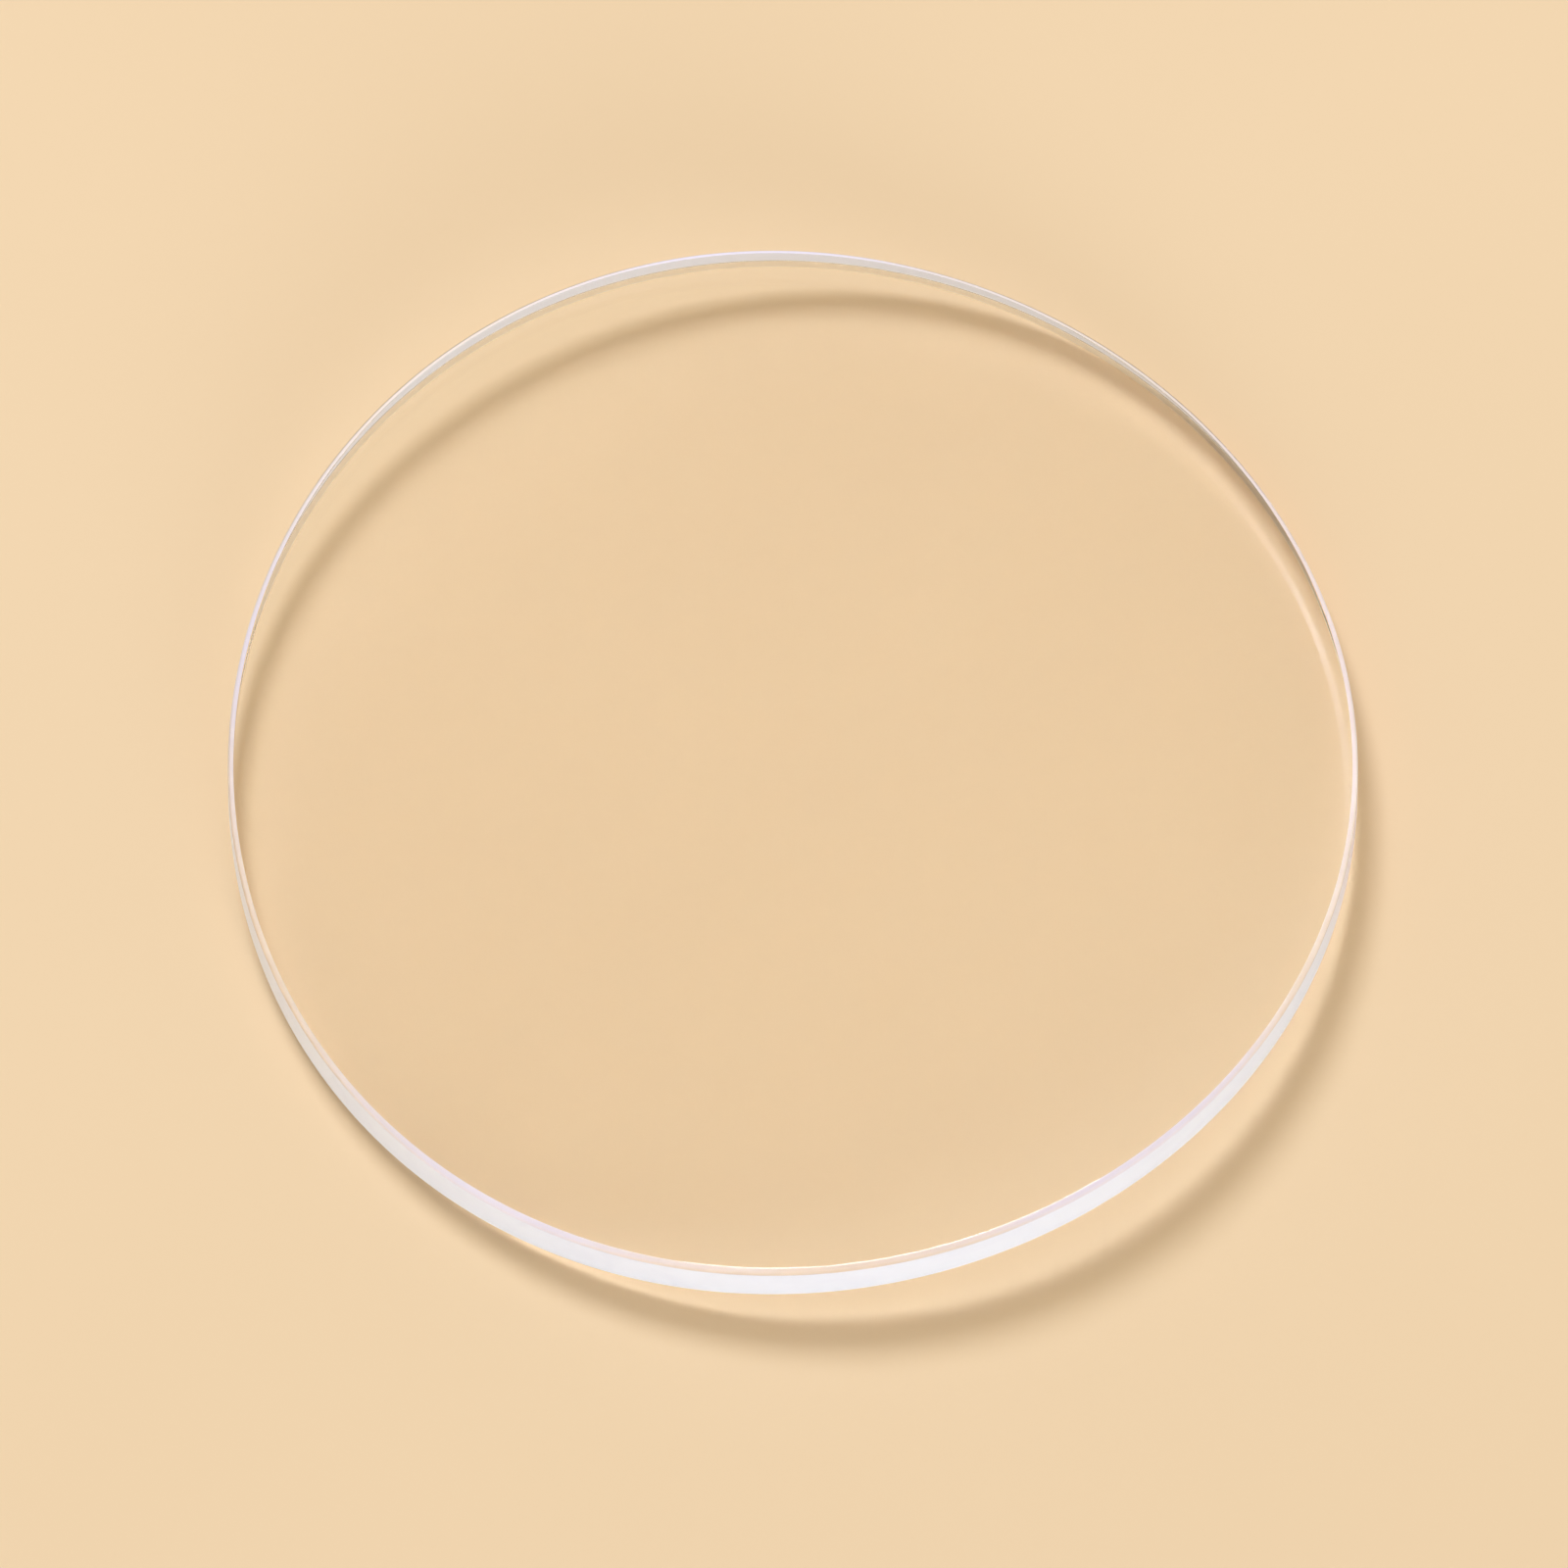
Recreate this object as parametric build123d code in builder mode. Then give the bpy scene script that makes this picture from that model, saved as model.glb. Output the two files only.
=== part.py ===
from build123d import *
import os
from math import asin, degrees, sqrt

# Watch crystal: a round disc of clear glass, bent one way over a cylinder,
# with a ground edge and a small bevel all round above and below.
# Millimetres. Z points up, out of the watch. X runs along the straight
# direction of the glass and Y across the bend, so the two low places of
# the rim lie at the ends of Y and rest on the plane Z = 0.

# Driving sizes
glass_diameter = 30.5
glass_thickness = 1.5
bend_radius = 94.0  # radius of the hollow underside
bevel_width = 0.15  # measured along the face and along the ground edge

# The round edges start here, in degrees from X. It is a little beside a low
# place, so a mesh of the glass has a point on either side of that place.
seam_angle = 83

# Sizes that follow from them
rim_radius = glass_diameter / 2
crown_radius = bend_radius + glass_thickness

# The bent blank runs past the finished rim by its own thickness.
blank_reach = rim_radius + glass_thickness
blank_angle = degrees(asin(blank_reach / bend_radius))

# The bevel takes the sharp lower corner away, which lifts the lowest point
# of the finished rim by this much.
corner_lift = bevel_width * rim_radius / bend_radius
bend_centre_height = -sqrt(bend_radius**2 - rim_radius**2) - corner_lift
column_height = bend_centre_height + crown_radius + glass_thickness

with BuildPart() as crystal:
    # Bent blank: a strip between two arcs of one centre, drawn in the plane of the bend
    with BuildSketch(Plane.YZ):
        with BuildLine():
            underside = CenterArc(
                (0, bend_centre_height), bend_radius, 90 - blank_angle, 2 * blank_angle
            )
            top = CenterArc(
                (0, bend_centre_height), crown_radius, 90 - blank_angle, 2 * blank_angle
            )
            Line(underside @ 0, top @ 0)
            Line(underside @ 1, top @ 1)
        make_face()
    extrude(amount=blank_reach, both=True)

    # Round outline, ground parallel to Z
    with BuildSketch(Plane.XY.rotated((0, 0, seam_angle))):
        Circle(rim_radius)
    extrude(amount=column_height, both=True, mode=Mode.INTERSECT)

    # Bevels on the upper and the lower edge of the rim
    rim_edges = crystal.edges().filter_by(GeomType.LINE, reverse=True)
    chamfer(rim_edges, length=bevel_width)

crystal.part.label = "crystal"
os.makedirs("parts", exist_ok=True)
export_step(crystal.part, "parts/crystal.step")
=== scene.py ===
from math import cos, pi, radians, sin, tan

import bpy
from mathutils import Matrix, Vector


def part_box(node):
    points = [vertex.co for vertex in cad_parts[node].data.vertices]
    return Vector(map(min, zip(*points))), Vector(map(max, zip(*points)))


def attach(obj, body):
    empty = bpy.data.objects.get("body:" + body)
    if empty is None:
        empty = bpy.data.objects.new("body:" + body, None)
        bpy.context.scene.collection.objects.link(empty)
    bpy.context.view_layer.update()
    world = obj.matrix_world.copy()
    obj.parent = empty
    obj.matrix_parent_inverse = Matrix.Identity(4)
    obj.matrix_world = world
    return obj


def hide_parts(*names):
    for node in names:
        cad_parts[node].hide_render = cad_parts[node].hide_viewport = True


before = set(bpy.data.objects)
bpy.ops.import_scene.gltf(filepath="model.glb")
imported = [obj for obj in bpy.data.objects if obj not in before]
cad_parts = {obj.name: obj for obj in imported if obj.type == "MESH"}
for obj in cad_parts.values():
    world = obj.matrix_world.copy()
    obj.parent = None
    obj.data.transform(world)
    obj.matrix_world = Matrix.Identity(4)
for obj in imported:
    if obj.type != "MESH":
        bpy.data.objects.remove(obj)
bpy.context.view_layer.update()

mm = 0.001
cadLow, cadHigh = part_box("crystal")
rimRadius = min(cadHigh.x, cadHigh.y, -cadLow.x, -cadLow.y)

# The bent glass disc
crystal = {
    "thickness": 1.5 * mm,
    "bendRadius": 94 * mm,  # of the hollow underside
    "bevelWidth": 0.15 * mm,
    "bevelFrom": 60,  # degrees, corners sharper than this get the bevel
    "arrisWidth": 0.02 * mm,  # softens the corners that the bevels leave
    "arrisFrom": 25,
    "arrisSteps": 2,
    "smoothAngle": 10,  # under the step of an arris, so the faces stay true to their rims
    "rimPoints": 384,
    "rimBand": 0.5 * mm,  # first ring inside the rim, wider than the bevels
    "weldWidth": 0.001 * mm,
    "formPoints": 8192,  # facets of the round form the glass is pressed on
    "formLength": 4,  # rim radii
    "pressHeight": 2,  # thicknesses above the finished top, before pressing
    "wallSlope": 0.35,  # the wall's normals lean up or down less than this
    "bevelSlope": 0.9,  # and the bevels' less than this
    "clearIor": 1.52,
    # polished faces, and the lower bevel
    "faceTint": (1.0, 0.99, 0.96),
    "faceWiped": (0.99, 0.98, 0.955),
    "faceWipeScale": 140,
    "faceDull": 0,
    "lowBevelDull": 0.8,
    "wipedDull": 0.02,  # how much duller both are in a wipe mark
    # upper bevel
    "bevelWipeScale": 300,
    "bevelDull": (0.3, 0.4),
    "bevelHazeDull": 0.5,
    "bevelHazeFacing": 0.05,  # share of the top bevel that looks ground, seen straight on
    "bevelHazeLilac": 0.5,  # the same where it is lilac
    "bevelHazeGrazing": 1.0,
    "bevelHazeFull": 0.6,  # how far aslant the haze is full, 1 is edge on
    "bevelLilac": (0.86, 0.82, 1.0),
    "bevelPeach": (0.94, 0.85, 0.81),
    "tintTurns": 5,  # lilac places round the rim
    "tintAzimuth": 2,  # one of them, in degrees from +X
    "tintSwing": 0.5,
    "tintUneven": 200,  # scale of the noise that makes the turns uneven
    "cornerShare": 0.22,  # of the top bevel's width, a clear line beside the wall
    "cornerSoft": 0.2,
    "cornerHaze": 0.2,  # how much of the haze is left in that line
    "cornerLilac": 0.2,  # how much of the line is left where the bevel is lilac
    "cornerPale": (0.86, 0.77, 0.71),
    "cornerPaintedShade": (0.34, 0.27, 0.23),  # painted shade: the clear line darkens to this brown when seen aslant
    # between these facing values the corner line goes from pale to its painted shade
    "cornerPaleSlant": 0.3,
    "cornerPaintedShadeSlant": 0.6,
    # ground wall
    "edgeWipeScale": 900,
    "edgeDull": (0.45, 0.6),
    "edgeWhite": (0.90, 0.925, 1.0),
    "edgeGrey": (0.86, 0.88, 0.965),
    "edgeInside": (0.76, 0.77, 0.84),  # the wall seen through the glass
    "edgeThroughOutside": 0.08,
    "edgeThroughInside": 0.9,
    "frostScale": 14000,
    "frostStrength": 0.15,
    "frostDepth": 0.01 * mm,
    # pink tint on one side, on the wall and the upper bevel
    "blushTint": (0.97, 0.86, 0.90),
    "blushAzimuth": 68,  # degrees from +X
    "blushSpan": 40,
}

bendCentre = cadHigh.z - crystal["bendRadius"] - crystal["thickness"]


def direction(azimuth, elevation):
    a, e = radians(azimuth), radians(elevation)
    return Vector((cos(a) * cos(e), sin(a) * cos(e), sin(e)))


def deselectAll():
    if bpy.context.object and bpy.context.object.mode != "OBJECT":
        bpy.ops.object.mode_set(mode="OBJECT")
    bpy.ops.object.select_all(action="DESELECT")


def applyModifier(obj, kind, **settings):
    modifier = obj.modifiers.new(kind.title(), kind)
    for name, value in settings.items():
        setattr(modifier, name, value)
    bpy.context.view_layer.objects.active = obj
    bpy.ops.object.modifier_apply(modifier=modifier.name)


def pressOnForm(obj, groupName, radius):
    # one face of the disc sinks straight down onto a long round form
    deselectAll()
    bpy.ops.mesh.primitive_cylinder_add(
        vertices=crystal["formPoints"],
        radius=radius,
        depth=crystal["formLength"] * rimRadius,
        end_fill_type="NOTHING",
        location=(0, 0, bendCentre),
        rotation=(0, pi / 2, 0),
    )
    form = bpy.context.object
    applyModifier(
        obj,
        "SHRINKWRAP",
        target=form,
        wrap_method="PROJECT",
        use_project_z=True,
        use_positive_direction=False,
        use_negative_direction=True,
        vertex_group=groupName,
    )
    bpy.data.objects.remove(form)


def bevelCorners(obj, sharperThan, width, steps):
    applyModifier(
        obj,
        "BEVEL",
        limit_method="ANGLE",
        angle_limit=radians(sharperThan),
        width=width,
        segments=steps,
        use_clamp_overlap=False,
    )


def addCrystal():
    # flat disc first: a rim circle, one ring inside it and a grid in the middle
    deselectAll()
    pressHeight = crystal["pressHeight"] * crystal["thickness"]
    bpy.ops.mesh.primitive_circle_add(
        vertices=crystal["rimPoints"],
        radius=rimRadius,
        fill_type="NOTHING",
        location=(0, 0, cadHigh.z + pressHeight),
    )
    disc = bpy.context.object
    disc.name = disc.data.name = "crystalGlass"
    bpy.ops.object.mode_set(mode="EDIT")
    shrink = 1 - crystal["rimBand"] / rimRadius
    bpy.ops.mesh.extrude_region_move()
    bpy.ops.transform.resize(value=(shrink, shrink, 1))
    bpy.ops.mesh.fill_grid(span=crystal["rimPoints"] // 4)

    # then its thickness
    bpy.ops.mesh.select_all(action="SELECT")
    bpy.ops.mesh.normals_make_consistent(inside=False)
    bpy.ops.mesh.extrude_region_move(
        TRANSFORM_OT_translate={"value": (0, 0, crystal["thickness"])}
    )
    bpy.ops.mesh.select_all(action="SELECT")
    bpy.ops.mesh.remove_doubles(threshold=crystal["weldWidth"])
    bpy.ops.mesh.normals_make_consistent(inside=False)
    bpy.ops.object.mode_set(mode="OBJECT")
    bpy.ops.object.transform_apply(location=True, rotation=True, scale=True)

    # both faces are bent over the same axis
    middle = cadHigh.z + pressHeight + crystal["thickness"] / 2
    topPoints = [v.index for v in disc.data.vertices if v.co.z > middle]
    lowPoints = [v.index for v in disc.data.vertices if v.co.z < middle]
    disc.vertex_groups.new(name="top").add(topPoints, 1, "REPLACE")
    disc.vertex_groups.new(name="underside").add(lowPoints, 1, "REPLACE")
    pressOnForm(disc, "top", crystal["bendRadius"] + crystal["thickness"])
    pressOnForm(disc, "underside", crystal["bendRadius"])

    # bevels on both rims, then their own corners
    bevelCorners(disc, crystal["bevelFrom"], crystal["bevelWidth"], 1)
    bevelCorners(disc, crystal["arrisFrom"], crystal["arrisWidth"], crystal["arrisSteps"])
    deselectAll()
    disc.select_set(True)
    bpy.context.view_layer.objects.active = disc
    bpy.ops.object.shade_smooth_by_angle(angle=radians(crystal["smoothAngle"]))
    disc.vertex_groups.clear()
    return disc


def newSocket(group, name, inOut, kind="NodeSocketFloat"):
    group.interface.new_socket(name=name, in_out=inOut, socket_type=kind)


def spread(nodes, links, value, low, high):
    # 0 to 1 becomes low to high
    ranged = nodes.new("ShaderNodeMapRange")
    ranged.inputs["To Min"].default_value = low
    ranged.inputs["To Max"].default_value = high
    links.new(value, ranged.inputs["Value"])
    return ranged


def stepUp(nodes, links, value, start, full, soft=False):
    # start to full becomes 0 to 1
    ranged = nodes.new("ShaderNodeMapRange")
    ranged.interpolation_type = "SMOOTHSTEP" if soft else "LINEAR"
    ranged.inputs["From Min"].default_value = start
    ranged.inputs["From Max"].default_value = full
    links.new(value, ranged.inputs["Value"])
    return ranged


def maths(nodes, operation, clamp=False):
    node = nodes.new("ShaderNodeMath")
    node.operation = operation
    node.use_clamp = clamp
    return node


def vectorMaths(nodes, links, vector, operation, other=(0, 0, 0)):
    node = nodes.new("ShaderNodeVectorMath")
    node.operation = operation
    node.inputs[1].default_value = other
    links.new(vector, node.inputs[0])
    return node


def noise(nodes, links, vector, scale):
    node = nodes.new("ShaderNodeTexNoise")
    node.inputs["Scale"].default_value = scale
    links.new(vector, node.inputs["Vector"])
    return node


def mixColours(nodes, links, factor, colourA, colourB):
    mix = nodes.new("ShaderNodeMix")
    mix.data_type = "RGBA"
    mix.inputs["A"].default_value = (*colourA, 1)
    mix.inputs["B"].default_value = (*colourB, 1)
    links.new(factor, mix.inputs["Factor"])
    return mix.outputs["Result"]


def mixShaders(nodes, links, factor, shaderA, shaderB):
    mix = nodes.new("ShaderNodeMixShader")
    links.new(factor, mix.inputs["Fac"])
    links.new(shaderA.outputs["BSDF"], mix.inputs[1])
    links.new(shaderB.outputs["BSDF"], mix.inputs[2])
    links.new(mix.outputs["Shader"], nodes["Material Output"].inputs["Surface"])


# Faint wipe marks, shared by all the finishes
wipes = {
    "stretch": (1, 0.25, 1),  # they run along Y
    "detail": 4,
    "twist": 0.6,
    "fadeIn": 0.42,
    "full": 0.72,
}


def makeWipeMarks():
    group = bpy.data.node_groups.new("wipeMarks", "ShaderNodeTree")
    newSocket(group, "Vector", "INPUT", "NodeSocketVector")
    newSocket(group, "Scale", "INPUT")
    newSocket(group, "Wipes", "OUTPUT")
    nodes, links = group.nodes, group.links
    entry = nodes.new("NodeGroupInput")
    leave = nodes.new("NodeGroupOutput")
    long = vectorMaths(nodes, links, entry.outputs["Vector"], "MULTIPLY", wipes["stretch"])
    marks = nodes.new("ShaderNodeTexNoise")
    marks.inputs["Detail"].default_value = wipes["detail"]
    marks.inputs["Distortion"].default_value = wipes["twist"]
    links.new(long.outputs["Vector"], marks.inputs["Vector"])
    links.new(entry.outputs["Scale"], marks.inputs["Scale"])
    soft = stepUp(nodes, links, marks.outputs["Fac"], wipes["fadeIn"], wipes["full"])
    links.new(soft.outputs["Result"], leave.inputs["Wipes"])
    return group


def startMaterial(name, marks, wipeScale, dull):
    # its roughness goes from the first to the second value of dull in the wipe marks
    material = bpy.data.materials.new(name)
    material.use_nodes = True
    nodes, links = material.node_tree.nodes, material.node_tree.links
    shader = nodes["Principled BSDF"]
    shader.inputs["IOR"].default_value = crystal["clearIor"]
    place = nodes.new("ShaderNodeTexCoord")
    fine = nodes.new("ShaderNodeGroup")
    fine.node_tree = marks
    fine.inputs["Scale"].default_value = wipeScale
    links.new(place.outputs["Object"], fine.inputs["Vector"])
    roughness = spread(nodes, links, fine.outputs["Wipes"], *dull)
    links.new(roughness.outputs["Result"], shader.inputs["Roughness"])
    return material, shader, place.outputs["Object"], fine.outputs["Wipes"]


def clearGlass(marks, name, dullness):
    dull = (dullness, dullness + crystal["wipedDull"])
    material, shader, place, wiped = startMaterial(name, marks, crystal["faceWipeScale"], dull)
    nodes, links = material.node_tree.nodes, material.node_tree.links
    shader.inputs["Transmission Weight"].default_value = 1
    tint = mixColours(nodes, links, wiped, crystal["faceTint"], crystal["faceWiped"])
    links.new(tint, shader.inputs["Base Color"])
    return material


def edgeTint(nodes, links, place, factor, colourA, colourB):
    # two tones that mix along the rim, and the pink tint on one side
    tone = mixColours(nodes, links, factor, colourA, colourB)
    towards = direction(crystal["blushAzimuth"], 0)
    side = vectorMaths(nodes, links, place, "DOT_PRODUCT", towards)
    start = rimRadius * cos(radians(crystal["blushSpan"]))
    share = stepUp(nodes, links, side.outputs["Value"], start, rimRadius, soft=True)
    blush = mixColours(nodes, links, share.outputs["Result"], colourA, crystal["blushTint"])
    links.new(tone, blush.node.inputs["A"])
    return blush


def lilacTurns(nodes, links, place):
    # lilac and peach take turns along the rim, a little unevenly
    broad = noise(nodes, links, place, crystal["tintUneven"])
    split = nodes.new("ShaderNodeSeparateXYZ")
    links.new(place, split.inputs["Vector"])
    azimuth = maths(nodes, "ARCTAN2")
    links.new(split.outputs["Y"], azimuth.inputs[0])
    links.new(split.outputs["X"], azimuth.inputs[1])
    turns = maths(nodes, "MULTIPLY_ADD")
    turns.inputs[1].default_value = crystal["tintTurns"]
    turns.inputs[2].default_value = -radians(crystal["tintAzimuth"]) * crystal["tintTurns"]
    links.new(azimuth.outputs["Value"], turns.inputs[0])
    wave = maths(nodes, "COSINE")
    links.new(turns.outputs["Value"], wave.inputs[0])
    lilac = maths(nodes, "MULTIPLY_ADD", clamp=True)
    lilac.inputs[1].default_value = crystal["tintSwing"]
    links.new(wave.outputs["Value"], lilac.inputs[0])
    links.new(broad.outputs["Fac"], lilac.inputs[2])
    return lilac.outputs["Value"]


def cornerLine(nodes, links, place, lilac):
    # 1 in a line beside the wall, less where the bevel is lilac
    flat = vectorMaths(nodes, links, place, "MULTIPLY", (1, 1, 0))
    reach = vectorMaths(nodes, links, flat.outputs["Vector"], "LENGTH")
    full = rimRadius - crystal["cornerShare"] * crystal["bevelWidth"]
    start = full - crystal["cornerSoft"] * crystal["bevelWidth"]
    corner = stepUp(nodes, links, reach.outputs["Value"], start, full, soft=True)
    left = spread(nodes, links, lilac, 1, crystal["cornerLilac"])
    links.new(left.outputs["Result"], corner.inputs["To Max"])
    return corner.outputs["Result"]


def bevelGlass(marks):
    # clear where it is looked into, hazy where it is seen aslant
    material, shader, place, wiped = startMaterial(
        "bevelGlass", marks, crystal["bevelWipeScale"], crystal["bevelDull"]
    )
    nodes, links = material.node_tree.nodes, material.node_tree.links
    shader.inputs["Transmission Weight"].default_value = 1
    haze = nodes.new("ShaderNodeBsdfPrincipled")
    haze.inputs["Roughness"].default_value = crystal["bevelHazeDull"]
    lilac = lilacTurns(nodes, links, place)
    corner = cornerLine(nodes, links, place, lilac)
    slant = nodes.new("ShaderNodeLayerWeight").outputs["Facing"]

    # its colour, with painted shade: the corner line darkens to brown the more aslant it is
    # seen
    tone = edgeTint(nodes, links, place, lilac, crystal["bevelPeach"], crystal["bevelLilac"])
    # painted shade on the corner line, brown where the bevel is seen aslant
    aslantShade = stepUp(nodes, links, slant, crystal["cornerPaleSlant"], crystal["cornerPaintedShadeSlant"])
    line = mixColours(
        nodes, links, aslantShade.outputs["Result"], crystal["cornerPale"], crystal["cornerPaintedShade"]
    )
    tint = mixColours(nodes, links, corner, crystal["bevelPeach"], crystal["cornerPale"])
    links.new(tone, tint.node.inputs["A"])
    links.new(line, tint.node.inputs["B"])
    links.new(tint, shader.inputs["Base Color"])
    links.new(tint, haze.inputs["Base Color"])

    # and its haze
    least = spread(nodes, links, lilac, crystal["bevelHazeFacing"], crystal["bevelHazeLilac"])
    share = spread(nodes, links, slant, 0, crystal["bevelHazeGrazing"])
    share.inputs["From Max"].default_value = crystal["bevelHazeFull"]
    links.new(least.outputs["Result"], share.inputs["To Min"])
    left = spread(nodes, links, corner, 1, crystal["cornerHaze"])
    hazeShare = maths(nodes, "MULTIPLY")
    links.new(share.outputs["Result"], hazeShare.inputs[0])
    links.new(left.outputs["Result"], hazeShare.inputs[1])
    mixShaders(nodes, links, hazeShare.outputs["Value"], shader, haze)
    return material


def groundEdge(marks):
    # outside it scatters light back, from inside the glass it lets the light outside through
    material, shader, place, wiped = startMaterial(
        "groundEdge", marks, crystal["edgeWipeScale"], crystal["edgeDull"]
    )
    nodes, links = material.node_tree.nodes, material.node_tree.links
    tint = edgeTint(nodes, links, place, wiped, crystal["edgeWhite"], crystal["edgeGrey"])
    links.new(tint, shader.inputs["Base Color"])
    frost = noise(nodes, links, place, crystal["frostScale"])
    bump = nodes.new("ShaderNodeBump")
    bump.inputs["Strength"].default_value = crystal["frostStrength"]
    bump.inputs["Distance"].default_value = crystal["frostDepth"]
    links.new(frost.outputs["Fac"], bump.inputs["Height"])
    links.new(bump.outputs["Normal"], shader.inputs["Normal"])
    through = nodes.new("ShaderNodeBsdfTranslucent")
    inside = nodes.new("ShaderNodeNewGeometry").outputs["Backfacing"]
    throughTint = mixColours(nodes, links, inside, crystal["edgeWhite"], crystal["edgeInside"])
    links.new(throughTint, through.inputs["Color"])
    share = spread(
        nodes, links, inside, crystal["edgeThroughOutside"], crystal["edgeThroughInside"]
    )
    mixShaders(nodes, links, share.outputs["Result"], shader, through)
    return material


def dressCrystal(disc):
    marks = makeWipeMarks()
    finishes = {
        "face": clearGlass(marks, "polishedGlass", crystal["faceDull"]),
        "upperBevel": bevelGlass(marks),
        "wall": groundEdge(marks),
        "lowerBevel": clearGlass(marks, "satinGlass", crystal["lowBevelDull"]),
    }
    for material in finishes.values():
        disc.data.materials.append(material)
    order = list(finishes)
    for face in disc.data.polygons:
        slope = face.normal.z
        if abs(slope) < crystal["wallSlope"]:
            part = "wall"
        elif abs(slope) < crystal["bevelSlope"]:
            part = "upperBevel" if slope > 0 else "lowerBevel"
        else:
            part = "face"
        face.material_index = order.index(part)


glass = addCrystal()
dressCrystal(glass)
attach(glass, "root")
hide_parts("crystal")
print("crystal modelled:", len(glass.data.polygons), "faces")

# Table under the glass
table = {
    "size": 1.2,
    "colour": (0.91, 0.67, 0.42),
    "colourDeep": (0.87, 0.635, 0.39),
    "cloudScale": 40,
    "dullness": 0.7,
    "shine": 0.2,
}


def addTable():
    deselectAll()
    bpy.ops.mesh.primitive_plane_add(size=table["size"], location=(0, 0, cadLow.z))
    top = bpy.context.object
    top.name = "table"
    bpy.ops.object.transform_apply(location=True, rotation=False, scale=False)
    material = bpy.data.materials.new("paleTable")
    material.use_nodes = True
    nodes, links = material.node_tree.nodes, material.node_tree.links
    shader = nodes["Principled BSDF"]
    shader.inputs["Roughness"].default_value = table["dullness"]
    shader.inputs["Specular IOR Level"].default_value = table["shine"]
    place = nodes.new("ShaderNodeTexCoord").outputs["Object"]
    cloud = noise(nodes, links, place, table["cloudScale"])
    tint = mixColours(nodes, links, cloud.outputs["Fac"], table["colour"], table["colourDeep"])
    links.new(tint, shader.inputs["Base Color"])
    top.data.materials.append(material)
    return top


addTable()
print("table laid")

# Lamp and world, angles in degrees and azimuths from +X
studio = {
    "keyDistance": 0.6,
    "keyAzimuth": 167,
    "keyElevation": 56,
    "keySpan": 10,  # to each side
    "keyLevel": 0.47,
    "keyColour": (0.88, 1.0, 1.2),
    "skyLow": (1.04, 0.96, 0.82),  # round the horizon
    "skyHigh": (0.31, 0.295, 0.255),  # overhead
    "screenAzimuth": 145,  # a diffuser beside the lamp, which the faces mirror
    "screenElevation": 66,
    "screenSpan": 30,
    "screenColour": (0.62, 0.58, 0.46),
    "windowAzimuth": -25,  # whitens the near side of the wall
    "windowElevation": 1,
    "windowSpan": 35,
    "windowColour": (4.6, 5.5, 6.8),
}


def addKeyLamp():
    towards = direction(studio["keyAzimuth"], studio["keyElevation"])
    span = radians(studio["keySpan"])
    radius = studio["keyDistance"] * tan(span)
    radiance = studio["keyLevel"] / sin(span) ** 2
    deselectAll()
    bpy.ops.object.light_add(type="AREA", location=towards * studio["keyDistance"])
    lamp = bpy.context.object
    lamp.name = "keyLamp"
    lamp.data.shape = "DISK"
    lamp.data.size = 2 * radius
    lamp.data.energy = radiance * pi * pi * radius**2
    lamp.data.color = studio["keyColour"]
    lamp.rotation_euler = towards.to_track_quat("Z", "Y").to_euler()


def addGlow(nodes, links, place, tone, name):
    # a soft round light in the sky, over what is there already
    towards = direction(studio[name + "Azimuth"], studio[name + "Elevation"])
    facing = vectorMaths(nodes, links, place, "DOT_PRODUCT", towards)
    start = cos(radians(studio[name + "Span"]))
    share = stepUp(nodes, links, facing.outputs["Value"], start, 1, soft=True)
    lit = mixColours(
        nodes, links, share.outputs["Result"], studio["skyLow"], studio[name + "Colour"]
    )
    links.new(tone, lit.node.inputs["A"])
    return lit


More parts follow.
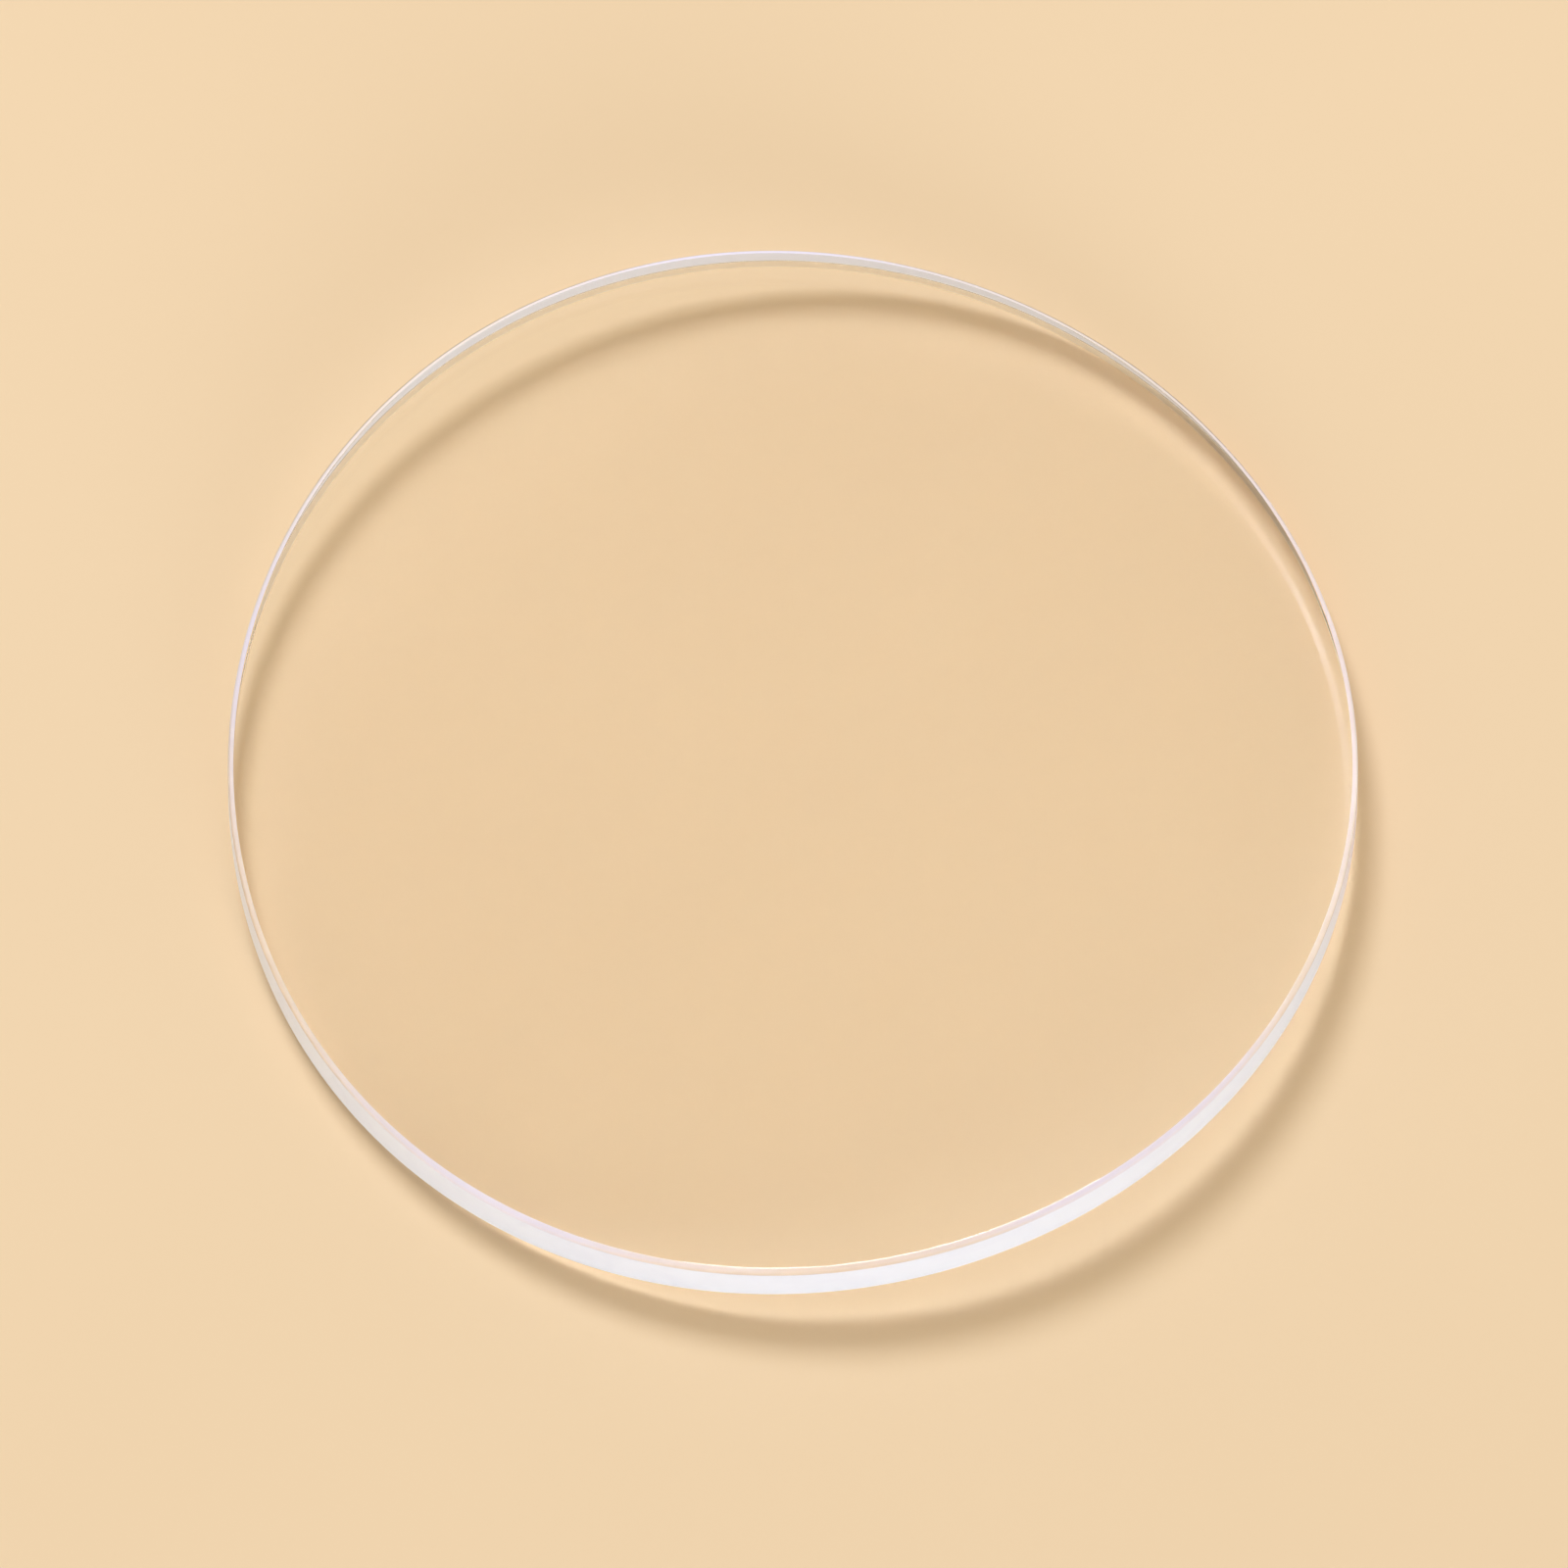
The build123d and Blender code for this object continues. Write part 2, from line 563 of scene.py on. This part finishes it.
def addSky():
    world = bpy.data.worlds.new("paleRoom")
    bpy.context.scene.world = world
    world.use_nodes = True
    nodes, links = world.node_tree.nodes, world.node_tree.links
    place = nodes.new("ShaderNodeTexCoord").outputs["Generated"]
    height = nodes.new("ShaderNodeSeparateXYZ")
    links.new(place, height.inputs["Vector"])
    tone = mixColours(nodes, links, height.outputs["Z"], studio["skyLow"], studio["skyHigh"])
    plain = addGlow(nodes, links, place, tone, "screen")
    lit = addGlow(nodes, links, place, plain, "window")

    # the window lights glass and table, but what shows in the faces is the plain room
    path = nodes.new("ShaderNodeLightPath")
    mirrored = maths(nodes, "SUBTRACT", clamp=True)
    links.new(path.outputs["Is Glossy Ray"], mirrored.inputs[0])
    links.new(path.outputs["Diffuse Depth"], mirrored.inputs[1])
    seen = mixColours(
        nodes, links, mirrored.outputs["Value"], studio["skyLow"], studio["skyLow"]
    )
    links.new(lit, seen.node.inputs["A"])
    links.new(plain, seen.node.inputs["B"])
    links.new(seen, nodes["Background"].inputs["Color"])


addKeyLamp()
addSky()
print("lights set")

# Camera at the photograph's angle
shot = {
    "azimuth": -36.6,
    "elevation": 65.04,
    "distance": 1.4,
    "nearest": 0.05,
    "farthest": 10,
    "frameWidth": 42.32 * mm,
    "sensor": 36,
    "photoPixels": 1600,
    "aimPixel": (809.1, 791.0),  # where the middle of the underside lies
}


def addCamera():
    back = direction(shot["azimuth"], shot["elevation"])
    turn = back.to_track_quat("Z", "Y")
    pixel = shot["frameWidth"] / shot["photoPixels"]
    half = shot["photoPixels"] / 2
    aim = Vector((0, 0, cadHigh.z - crystal["thickness"]))
    aim -= turn @ Vector((shot["aimPixel"][0] - half, half - shot["aimPixel"][1], 0)) * pixel
    deselectAll()
    bpy.ops.object.camera_add(location=aim + back * shot["distance"])
    camera = bpy.context.object
    camera.rotation_euler = turn.to_euler()
    camera.data.sensor_width = shot["sensor"]
    camera.data.lens = shot["sensor"] * shot["distance"] / shot["frameWidth"]
    camera.data.clip_start = shot["nearest"]
    camera.data.clip_end = shot["farthest"]
    bpy.context.scene.camera = camera


addCamera()
bpy.context.scene.view_settings.view_transform = "Standard"
bpy.context.scene.cycles.blur_glossy = 0  # light goes through the glass sharp
bpy.context.scene.cycles.sample_clamp_indirect = 0  # and keeps its full brightness
